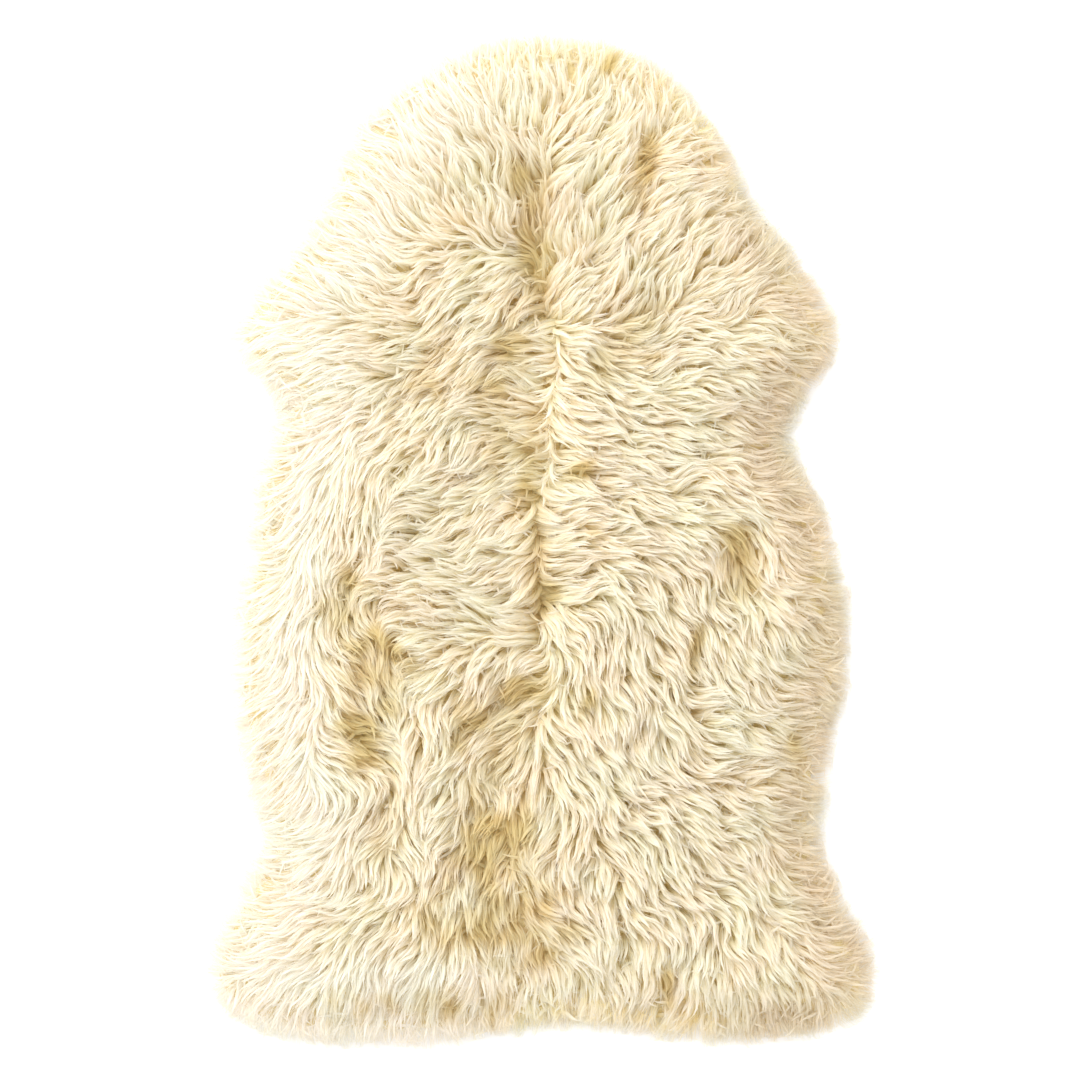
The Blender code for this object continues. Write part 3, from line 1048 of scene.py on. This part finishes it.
def underwool_material():
    """Underwool: dense, matt and golden, its own golden made darker as painted shade of the deep wool."""
    material, nodes, links, surface = new_material("underwool", roughness=0.9)
    stops = ((0.35, UNDERWOOL_COLOURS[0]), (0.65, UNDERWOOL_COLOURS[1]))
    patches = noise(nodes, links, scale=140, detail=4)
    links.new(ramp(nodes, links, patches, stops), surface.inputs["Base Color"])
    bump = nodes.new("ShaderNodeBump")
    bump.inputs["Distance"].default_value = 0.001
    links.new(noise(nodes, links, scale=420, detail=3), bump.inputs["Height"])
    links.new(bump.outputs["Normal"], surface.inputs["Normal"])
    return material


def hide_material():
    """Pale suede, with a fine nap and faint blotches."""
    material, nodes, links, surface = new_material("suede", roughness=0.85)
    dark = tuple(0.82 * part for part in HIDE_COLOUR)
    stops = ((0.35, dark), (0.65, HIDE_COLOUR))
    blotches = noise(nodes, links, scale=9, detail=5)
    links.new(ramp(nodes, links, blotches, stops), surface.inputs["Base Color"])
    bump = nodes.new("ShaderNodeBump")
    bump.inputs["Distance"].default_value = 0.0002
    links.new(noise(nodes, links, scale=900, detail=2), bump.inputs["Height"])
    links.new(bump.outputs["Normal"], surface.inputs["Normal"])
    return material


# ---------------------------------------------------------------- pieces, light and camera


def add_piece(name, mesh, material):
    """A piece that rides on the rug's body and stands for the frame's node."""
    piece = bpy.data.objects.new(name, mesh)
    bpy.context.scene.collection.objects.link(piece)
    mesh.materials.append(material)
    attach(piece, "root")
    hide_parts(NODE)
    return piece


def wool_pieces(ground, clouds, tufts):
    """The strands, as one piece for each region from the neck to the rump."""
    back = back_locks(ground, clouds, tufts)
    groups = [
        strand_paths(back, ground, "lock_body"),
        strand_paths(back, ground, "lock_strand"),
        strand_paths(under_locks(ground, clouds), ground, "under_strand"),
        strand_paths(fringe_locks(ground, clouds), ground, "fringe_strand"),
    ]
    strands = joined(groups)
    order = np.argsort(-strands["y"][:, 0])
    material = wool_material()
    pieces = []
    for name, part in zip(REGIONS, np.array_split(order, len(REGIONS))):
        own = {key: values[part] for key, values in strands.items()}
        mesh = strand_mesh("wool_" + name, own, ground, clouds)
        pieces.append(add_piece("wool_" + name, mesh, material))
    return pieces


def add_floor():
    """A plain pale floor."""
    bpy.ops.mesh.primitive_plane_add(size=30)
    floor = bpy.context.object
    floor.name = "floor"
    material, _, _, surface = new_material("floor", roughness=0.9)
    surface.inputs["Base Color"].default_value = (*FLOOR_COLOUR, 1)
    surface.inputs["Specular IOR Level"].default_value = 0.0
    floor.data.materials.append(material)


def add_light():
    """A large soft light from the upper left, and pale light from all round."""
    lamp = bpy.data.lights.new("key", "AREA")
    lamp.size = 2.6
    lamp.energy = 70
    key = bpy.data.objects.new("key", lamp)
    key.location = (-1.5, 1.5, 1.7)
    key.rotation_euler = (-key.location).to_track_quat("-Z", "Y").to_euler()
    bpy.context.scene.collection.objects.link(key)
    world = bpy.data.worlds.new("studio")
    world.use_nodes = True
    background = world.node_tree.nodes["Background"]
    background.inputs["Color"].default_value = (1, 1, 1, 1)
    background.inputs["Strength"].default_value = 1.26
    bpy.context.scene.world = world


def add_camera():
    """A long lens straight above the rug, with the neck at the top."""
    picture = 0.965  # the width of floor that the picture shows
    distance = 4.0
    lens = bpy.data.cameras.new("camera")
    lens.sensor_width = 36
    lens.lens = lens.sensor_width * distance / picture
    camera = bpy.data.objects.new("camera", lens)
    camera.location = (0, 0, distance)
    bpy.context.scene.collection.objects.link(camera)
    bpy.context.scene.camera = camera


def main():
    ground = measured_frame()
    clouds = {name: cloud(cell) for name, cell in CLOUD_CELLS.items()}
    ground.update(combed(ground, clouds))
    tuft_x, tuft_y = scattered(TUFT_SPACING, ground, 0)
    tufts = {
        "x": tuft_x,
        "y": tuft_y,
        "turn": rng.normal(0, 1, len(tuft_x)),
        "tone": rng.normal(0, 1, len(tuft_x)),
    }
    wool = wool_pieces(ground, clouds, tufts)
    underwool = add_piece("underwool", underwool_mesh(ground, clouds), underwool_material())
    hide = add_piece("hide", hide_mesh(ground), hide_material())
    add_floor()
    add_light()
    add_camera()
    scene = bpy.context.scene
    scene.view_settings.view_transform = "Standard"
    scene.cycles.diffuse_bounces = 8
    scene.cycles.transmission_bounces = 12


main()
